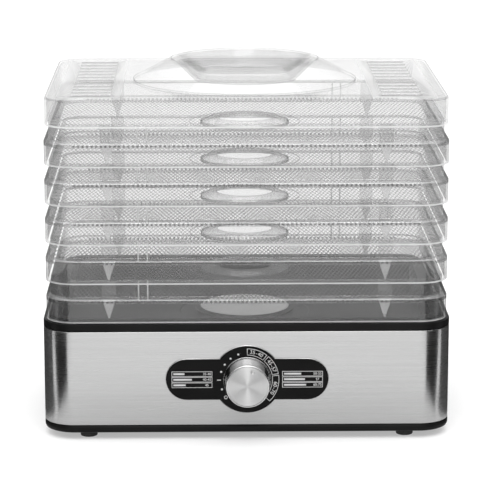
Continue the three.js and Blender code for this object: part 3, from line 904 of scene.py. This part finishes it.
# The outline of a finger pocket at its mouth and at its floor, as pocket_ring takes it
POCKET_MOUTH = (49, 8, 59, 16)
POCKET_FLOOR = (30, 14, 50, 37)
POCKET_RISE = 3
VENT_PANEL_X = 127.3
VENT_PANEL_HALF = (25.7, 113)
SLOT_X = 125.8
SLOT_HALF = (16.5, 1.1)
SLOT_COUNT = 12
SLOT_PITCH = 17.5
LOUVRE_DEPTH = 5
LID_LOOKS = [
    "lid_plastic",
    "frosted_plastic",
    "lid_rim_shade_plastic",
    "pocket_shade_plastic",
    "lid_skirt_plastic",
    "edge_highlight_plastic",
]
# slot numbers in LID_LOOKS: the edge slot is a painted highlight, the rim and pocket slots are painted
# shade
LID_FROSTED, LID_SHADED_RIM, LID_SHADED_POCKET, LID_SKIRT, LID_LIT_EDGE = 1, 2, 3, 4, 5


def pocket_ring(mesh, side, bar_x, bar_y, radius, start, z):
    """A finger pocket's outline: the bar's straight side closed by an arc, start degrees from X."""
    points = [(bar_x, side * bar_y), (-bar_x, side * bar_y)]
    steps = 20
    for i in range(steps + 1):
        angle = math.radians(180 - start - (180 - 2 * start) * i / steps)
        points.append((radius * math.cos(angle), side * radius * math.sin(angle)))
    return ring(mesh, [(x * MM, y * MM) for x, y in points], z, LID[3])


def vent_slots(mesh, louvres, side):
    """One vent panel's frosted face with its slots, and the louvres that hang below them."""
    centre_y = LID[3]
    half_x, half_y = VENT_PANEL_HALF
    corners = rounded_rectangle(half_x * MM, half_y * MM, 3 * MM, 3)
    panel = [(x + side * VENT_PANEL_X * MM, y) for x, y in corners]
    panel = ring(mesh, panel, LID_TOP, centre_y)
    half_x, half_y = SLOT_HALF
    slots = []
    for i in range(SLOT_COUNT):
        middle = (i - (SLOT_COUNT - 1) / 2) * SLOT_PITCH * MM
        slot = rounded_rectangle(half_x * MM, half_y * MM, 1.0 * MM, 3)
        slot = [(x + side * SLOT_X * MM, y + middle) for x, y in slot]
        slots.append(ring(mesh, slot, LID_TOP, centre_y))
        top = ring(louvres, slot, LID_TOP - (LID_SHEET + 0.05) * MM, centre_y)
        skin(louvres, ring(louvres, slot, LID_TOP - LOUVRE_DEPTH * MM, centre_y), top)
    fill_between(mesh, [panel, *slots], LID_FROSTED)
    return panel


def make_lid():
    """Skirt, roof, dome and pockets as one skin, which is then given its wall thickness."""
    mesh, louvres = bmesh.new(), bmesh.new()
    centre_y = LID[3]
    height = (LID_TOP - lid_low.z) / MM
    profile = [(0, 0), (0, 1), (0, height - 0.9), (0.9, height)]
    # the lid's bottom edge wears the painted-highlight look
    looks = {0: LID_LIT_EDGE, 1: LID_SKIRT}
    rings = swept(mesh, LID, profile, 14, lid_low.z, closed=False, looks=looks)
    base = ring(mesh, circle(DOME_FOOT * MM, DOME_SIDES), LID_TOP, centre_y)
    panels = [vent_slots(mesh, louvres, side) for side in (-1, 1)]
    fill_between(mesh, [rings[-1], base, *panels])
    rim = ring(mesh, circle(DOME_RIM * MM, DOME_SIDES), DOME_TOP, centre_y)
    skin(mesh, base, rim)
    mouths = []
    for side in (-1, 1):
        mouth = pocket_ring(mesh, side, *POCKET_MOUTH, DOME_TOP)
        floor = pocket_ring(mesh, side, *POCKET_FLOOR, LID_TOP + POCKET_RISE * MM)
        # the pocket walls wear the painted-shade look
        skin(mesh, mouth, floor, LID_SHADED_POCKET)
        mesh.faces.new(floor)
        mouths.append(mouth)
    fill_between(mesh, [rim, *mouths])
    piece = to_object("lid_shell", mesh, LID_LOOKS, 30)
    # the rounded strips wear the darker rim look, which is painted shade
    soften(piece, 0.8, 3, 20, LID_SHADED_RIM)
    thicken(piece, LID_SHEET)
    piece.modifiers["wall"].material_offset_rim = 1
    attach(piece, "lid", "lid_plastic", "lid_box", "lid_dome", "lid_grip")
    piece = to_object("lid_louvres", louvres, ["lid_plastic"], 30)
    attach(piece, "lid", "lid_plastic")


def make_lid_ribs():
    mesh = bmesh.new()
    _, half_y, _, centre_y = LID
    for sx in (-1, 1):
        for sy in (-1, 1):
            wall = centre_y + sy * (half_y - WALL_INSET * MM)
            wedge_rib(mesh, sx * RIB_X * MM, wall, 17.5, -sy)
    piece = to_object("lid_ribs", mesh, ["lid_plastic"], 30)
    piece.location.z = LID_TOP - LID_SHEET * MM
    soften(piece, 0.3, 2)
    attach(piece, "lid", "lid_plastic")


make_lid()
make_lid_ribs()


# ---------------------------------------------------------------- control panel and knob

panel_low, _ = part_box("control_panel")
PANEL_FRONT = panel_low.y
INK = PANEL_FRONT - 0.03 * MM
PLATE_PROFILE = ((0.9, 0), (0.25, 0.2), (0, 0.7), (0, 1.9))
LIP_PROFILE = ((0, 0.8), (-0.15, 0.65), (-0.35, 0.75), (-0.6, 1.3), (-0.6, 1.9))
DOT_ANGLES = (-19, -37.6, -55.6, -73, -111.7)
DOT_RING = 22.2
DASH_ANGLE = -91
OFF_ANGLE = -130.7
MARK_RING = 23
DIGIT_RING = 23.2
DIGIT_STEP = 5.6
SCALE_RADII = (20.4, 25.6)
SCALE_LINE = 0.4
SCALE_ZONES = ((0, 38, "35-40"), (42, 79, "45-57"), (82, 135, "60-70"))
TABLE_X = 45
TABLE_HALF = 16.5
TABLE_TOP = 6.9
ROW_PITCH = 4.7
ROW_HEIGHT = 4.3
TABLE_ROWS = {
    -1: (("35-40", 9), ("40-45", 15), ("45", 10)),
    1: (("50-55", 14), ("57", 17), ("60-70", 18)),
}
KNOB_LONG = (knob_high.y - knob_low.y) / MM
DIMPLE_RADIUS = 2.6
DIMPLE_RING = 12.8
DIMPLE_ANGLE = 18.5


def panel_outline(inset):
    """The disc with a round-ended lobe on each side, as (x, z) points in mm about the knob's axis."""
    big, half, reach = 28 - inset, 17 - inset, 66 - inset
    meet = math.degrees(math.asin(half / big))
    points = []
    arcs = (
        (0, big, meet, 180 - meet, 48),
        (-(reach - half), half, 90, 270, 16),
        (0, big, 180 + meet, 360 - meet, 48),
        (reach - half, half, 270, 450, 16),
    )
    for cx, radius, start, end, count in arcs:
        for i in range(count + 1):
            angle = math.radians(start + (end - start) * i / count)
            points.append((cx + radius * math.cos(angle), radius * math.sin(angle)))
    return points


def facing(mesh, points, y):
    """A ring of (x, z) points in mm about the knob's axis, at a depth y."""
    return [mesh.verts.new((x * MM, y, KNOB_Z + z * MM)) for x, z in points]


def panel_rings(mesh, profile):
    """Panel outlines at (inset, depth) points in mm, joined from front to back."""
    rings = [facing(mesh, panel_outline(inset), PANEL_FRONT + depth * MM) for inset, depth in profile]
    for near, far in zip(rings, rings[1:]):
        skin(mesh, near, far)
    return rings


def make_panel():
    mesh = bmesh.new()
    rings = panel_rings(mesh, PLATE_PROFILE)
    mesh.faces.new(rings[0])
    mesh.faces.new(list(reversed(rings[-1])))
    piece = to_object("panel_plate", mesh, ["gloss_black"], 60)
    attach(piece, "base", "gloss_black", "control_panel")
    lip = bmesh.new()
    panel_rings(lip, LIP_PROFILE)
    piece = to_object("panel_lip", lip, ["bright_steel"], 60)
    attach(piece, "base", "bright_steel")


def flat_print(name, mesh):
    """Ink on the panel, a hair proud of it."""
    piece = to_object(name, mesh, ["print_white"], 30, outward=False)
    thicken(piece, 0.08, 0.0)
    attach(piece, "base", "print_white")


def on_dial(radius, angle):
    """A point about the knob's axis; the angle runs clockwise from straight up, in degrees."""
    turn = math.radians(angle)
    return radius * math.sin(turn), radius * math.cos(turn)


def arc_strip(mesh, inner, outer, start, end, count=16):
    """A flat band between two radii, from one dial angle to another."""
    angles = [start + (end - start) * i / count for i in range(count + 1)]
    a = facing(mesh, [on_dial(inner, angle) for angle in angles], INK)
    b = facing(mesh, [on_dial(outer, angle) for angle in angles], INK)
    for i in range(count):
        mesh.faces.new((a[i], a[i + 1], b[i + 1], b[i]))


def frame_strip(mesh, x0, x1, z0, z1, width):
    outer = [(x0, z0), (x1, z0), (x1, z1), (x0, z1)]
    inner = [
        (x0 + width, z0 + width),
        (x1 - width, z0 + width),
        (x1 - width, z1 - width),
        (x0 + width, z1 - width),
    ]
    skin(mesh, facing(mesh, outer, INK), facing(mesh, inner, INK))


def bar_strip(mesh, x0, x1, z0, z1):
    mesh.faces.new(facing(mesh, [(x0, z0), (x1, z0), (x1, z1), (x0, z1)], INK))


def number(text, x, z, size, turn=0.0):
    """Plain digits on the panel. turn is clockwise, in degrees."""
    curve = bpy.data.curves.new("digits", "FONT")
    curve.body = text
    curve.size = size * MM
    curve.align_x = "CENTER"
    curve.align_y = "CENTER"
    curve.extrude = 0.03 * MM
    name = f"digits_{text}_{round(x)}_{round(z)}".replace("-", "to").replace("_to", "_m")
    piece = bpy.data.objects.new(name, curve)
    scene.collection.objects.link(piece)
    piece.matrix_world = (
        Matrix.Translation((x * MM, INK, KNOB_Z + z * MM))
        @ Matrix.Rotation(math.radians(turn), 4, "Y")
        @ Matrix.Rotation(math.radians(90), 4, "X")
    )
    curve.materials.append(MATERIAL["print_white"])
    attach(piece, "base", "print_white")


def make_marks():
    """The dots, the dash, the off mark, the scale's zones and the tables, all without digits."""
    mesh = bmesh.new()
    for angle in DOT_ANGLES:
        mesh.faces.new(facing(mesh, circle(0.85, 20, *on_dial(DOT_RING, angle)), INK))
    x, z = on_dial(MARK_RING, DASH_ANGLE)
    bar_strip(mesh, x - 1.6, x + 1.6, z - 0.35, z + 0.35)
    x, z = on_dial(MARK_RING, OFF_ANGLE)
    skin(mesh, facing(mesh, circle(1.5, 28, x, z), INK), facing(mesh, circle(1.0, 28, x, z), INK))
    inner, outer = SCALE_RADII
    for start, end, _ in SCALE_ZONES:
        arc_strip(mesh, inner, inner + SCALE_LINE, start, end)
        arc_strip(mesh, outer, outer + SCALE_LINE, start, end)
        for at in (start, end):
            arc_strip(mesh, inner, outer + SCALE_LINE, at - 0.5, at + 0.5, 1)
    for side, rows in TABLE_ROWS.items():
        x0, x1 = side * TABLE_X - TABLE_HALF, side * TABLE_X + TABLE_HALF
        for row, (_, length) in enumerate(rows):
            z1 = TABLE_TOP - row * ROW_PITCH
            frame_strip(mesh, x0, x1, z1 - ROW_HEIGHT, z1, 0.36)
            bar_strip(mesh, x0 + 1.4, x0 + 1.4 + length, z1 - 2.9, z1 - 1.4)
    flat_print("panel_marks", mesh)


def make_digits():
    for side, rows in TABLE_ROWS.items():
        for row, (text, _) in enumerate(rows):
            number(text, side * TABLE_X + 12.2, TABLE_TOP - row * ROW_PITCH - 2.15, 2.9)
    for start, end, text in SCALE_ZONES:
        for i, letter in enumerate(text):
            angle = (start + end) / 2 + (i - 2) * DIGIT_STEP
            number(letter, *on_dial(DIGIT_RING, angle), 4.4, angle)


def make_knob_side():
    mesh = bmesh.new()
    profile = [
        (18.6, 0),
        (19.3, 0.3),
        (19.5, 1),
        (19.5, 2.4),
        (18.9, 3.1),
        (17.75, KNOB_LONG - 1.2),
        (17.45, KNOB_LONG - 0.5),
        (17.0, KNOB_LONG - 0.08),
        (16.7, KNOB_LONG),
        (16.6, KNOB_LONG - 1),
        (0, KNOB_LONG - 1),
    ]
    lathe(mesh, profile, forward(0, knob_high.y, KNOB_Z), 128, closed=False)
    piece = to_object("knob_side", mesh, ["satin_chrome"], 40)
    thicken(piece, 1.2)
    attach(piece, "knob", "satin_chrome", "knob_body")


def make_knob_face():
    """The spun disc, with the round dimple that shows which way the knob points."""
    mesh = bmesh.new()
    face = [(0, 0), (5, 0.02), (15.9, 0), (16.25, 0.1), (16.4, 0.35), (16.4, 0.9), (0, 0.9)]
    profile = [(radius, KNOB_LONG - depth) for radius, depth in face]
    lathe(mesh, profile, forward(0, knob_high.y, KNOB_Z), 128, closed=False)
    cap = to_object("knob_face", mesh, ["spun_aluminium"], 30)
    dimple = bmesh.new()
    bmesh.ops.create_uvsphere(dimple, u_segments=32, v_segments=20, radius=DIMPLE_RADIUS * MM)
    ball = to_object("dimple_tool", dimple, [], 80)
    x, z = on_dial(DIMPLE_RING, DIMPLE_ANGLE)
    ball.location = (x * MM, knob_low.y - 1.9 * MM, KNOB_Z + z * MM)
    cut = cap.modifiers.new("dimple", "BOOLEAN")
    cut.operation = "DIFFERENCE"
    cut.solver = "EXACT"
    cut.object = ball
    bpy.context.view_layer.update()
    evaluated = cap.evaluated_get(bpy.context.evaluated_depsgraph_get())
    shaped = bpy.data.meshes.new_from_object(evaluated)
    cap.modifiers.clear()
    cap.data = shaped
    shaped.set_sharp_from_angle(angle=math.radians(30))
    bpy.data.objects.remove(ball)
    attach(cap, "knob", "spun_aluminium", "knob_cap")


make_panel()
make_marks()
make_digits()
make_knob_side()
make_knob_face()


# ---------------------------------------------------------------- inner parts

for part in frame["record"]["subparts"]:
    node = frame["nodes"][part["node"]]
    if node.hide_render:
        continue
    for slot in node.material_slots:
        slot.material = MATERIAL[part["material_slot"]]


# ---------------------------------------------------------------- studio

CARD_X = 0.183
CARD_TOP = 0.13
BLACK_CARD_Y = (-0.177, -0.118)
GREY_CARD_Y = (-0.109, 0.03)


def add_floor():
    material, tree, shader = new_material("studio_floor")
    speckle = noise_from(tree, (3, 3, 3), 2)
    shader.inputs["Specular IOR Level"].default_value = 0.0
    shader.inputs["Roughness"].default_value = 0.9
    tree.links.new(tint(tree, speckle, grey(0.58), grey(0.61)), shader.inputs["Base Color"])
    shader.inputs["Emission Color"].default_value = (1, 1, 1, 1)
    shader.inputs["Emission Strength"].default_value = 0.4
    mesh = bmesh.new()
    bmesh.ops.create_grid(mesh, x_segments=8, y_segments=8, size=14)
    data = bpy.data.meshes.new("studio_floor")
    mesh.to_mesh(data)
    mesh.free()
    data.materials.append(material)
    floor = bpy.data.objects.new("studio_floor", data)
    scene.collection.objects.link(floor)


def add_world():
    """A bright room above, and bright and dark stretches round the horizon for the steel to mirror."""
    world = bpy.data.worlds.new("studio")
    scene.world = world
    world.use_nodes = True
    tree = world.node_tree
    background = tree.nodes["Background"]
    where = tree.nodes.new("ShaderNodeTexCoord")
    parts = tree.nodes.new("ShaderNodeSeparateXYZ")
    tree.links.new(where.outputs["Generated"], parts.inputs["Vector"])

    def math_node(operation, a, b=None):
        node = tree.nodes.new("ShaderNodeMath")
        node.operation = operation
        for socket, value in zip(node.inputs, (a, b)):
            if value is None:
                continue
            if isinstance(value, (int, float)):
                socket.default_value = value
            else:
                tree.links.new(value, socket)
        return node.outputs[0]

    sideways = math_node("ABSOLUTE", parts.outputs["X"])
    towards = math_node("MULTIPLY", parts.outputs["Y"], -1)
    turn = math_node("DIVIDE", math_node("ARCTAN2", sideways, towards), math.pi)
    around = tree.nodes.new("ShaderNodeValToRGB")
    # (part of the half turn from the front to the back, brightness)
    stops = [
        (0.0, 1.0),
        (0.14, 0.95),
        (0.2, 0.12),
        (0.46, 0.14),
        (0.5, 1.3),
        (0.58, 1.3),
        (0.63, 0.35),
        (0.78, 0.5),
        (0.88, 1.0),
        (1.0, 1.05),
    ]
    elements = around.color_ramp.elements
    while len(elements) < len(stops):
        elements.new(0.5)
    for element, (position, value) in zip(elements, stops):
        element.position = position
        element.color = (*grey(value), 1)
    tree.links.new(turn, around.inputs["Fac"])
    height = tree.nodes.new("ShaderNodeMapRange")
    height.interpolation_type = "SMOOTHSTEP"
    height.inputs["From Min"].default_value = 0.5
    height.inputs["From Max"].default_value = 0.8
    tree.links.new(parts.outputs["Z"], height.inputs["Value"])
    mix = tree.nodes.new("ShaderNodeMix")
    mix.data_type = "RGBA"
    tree.links.new(height.outputs["Result"], mix.inputs["Factor"])
    tree.links.new(around.outputs["Color"], mix.inputs["A"])
    mix.inputs["B"].default_value = (*grey(1.45), 1)
    tree.links.new(mix.outputs["Result"], background.inputs["Color"])
    background.inputs["Strength"].default_value = 1.1


def add_card(name, x, y0, y1, z, shade):
    """A matt card on edge beside the object. It shows only in reflections."""
    mesh = bmesh.new()
    box_between(mesh, (x - 0.002, y0, 0.001), (x + 0.002, y1, z))
    data = bpy.data.meshes.new(name)
    mesh.to_mesh(data)
    mesh.free()
    data.materials.append(MATERIAL[shade])
    card = bpy.data.objects.new(name, data)
    card.visible_camera = False
    card.visible_diffuse = False
    card.visible_shadow = False
    scene.collection.objects.link(card)


def add_cards():
    """A black card beside each front corner and a grey one behind it, for the steel's dark bands."""
    for shade, low, high in (("black_card", 0.01, 0.014), ("grey_card", 0.26, 0.3)):
        MATERIAL[shade] = grained(shade, grey(low), grey(high), (0.8, 0.9), 60, 0.01 * MM, specular=0.0)
    for end, side in (("left", -1), ("right", 1)):
        add_card(f"black_card_{end}", side * CARD_X, *BLACK_CARD_Y, CARD_TOP, "black_card")
        add_card(f"grey_card_{end}", side * CARD_X, *GREY_CARD_Y, CARD_TOP, "grey_card")


def add_softbox(name, place, aim, side, power):
    data = bpy.data.lights.new(name, "AREA")
    data.shape = "SQUARE"
    data.size = side
    data.energy = power
    light = bpy.data.objects.new(name, data)
    light.location = place
    light.rotation_euler = (Vector(aim) - Vector(place)).to_track_quat("-Z", "Y").to_euler()
    scene.collection.objects.link(light)


add_floor()
add_cards()
add_world()
add_softbox("top_light", place=(0, 0.2, 2.2), aim=(0, 0, 0), side=2.4, power=16)
add_softbox("front_light", place=(0, -1.25, 1.7), aim=(0, -0.15, 0.05), side=0.8, power=7)

scene.view_settings.view_transform = "Standard"
scene.cycles.max_bounces = 48
scene.cycles.glossy_bounces = 12
scene.cycles.diffuse_bounces = 4
scene.cycles.transparent_max_bounces = 256
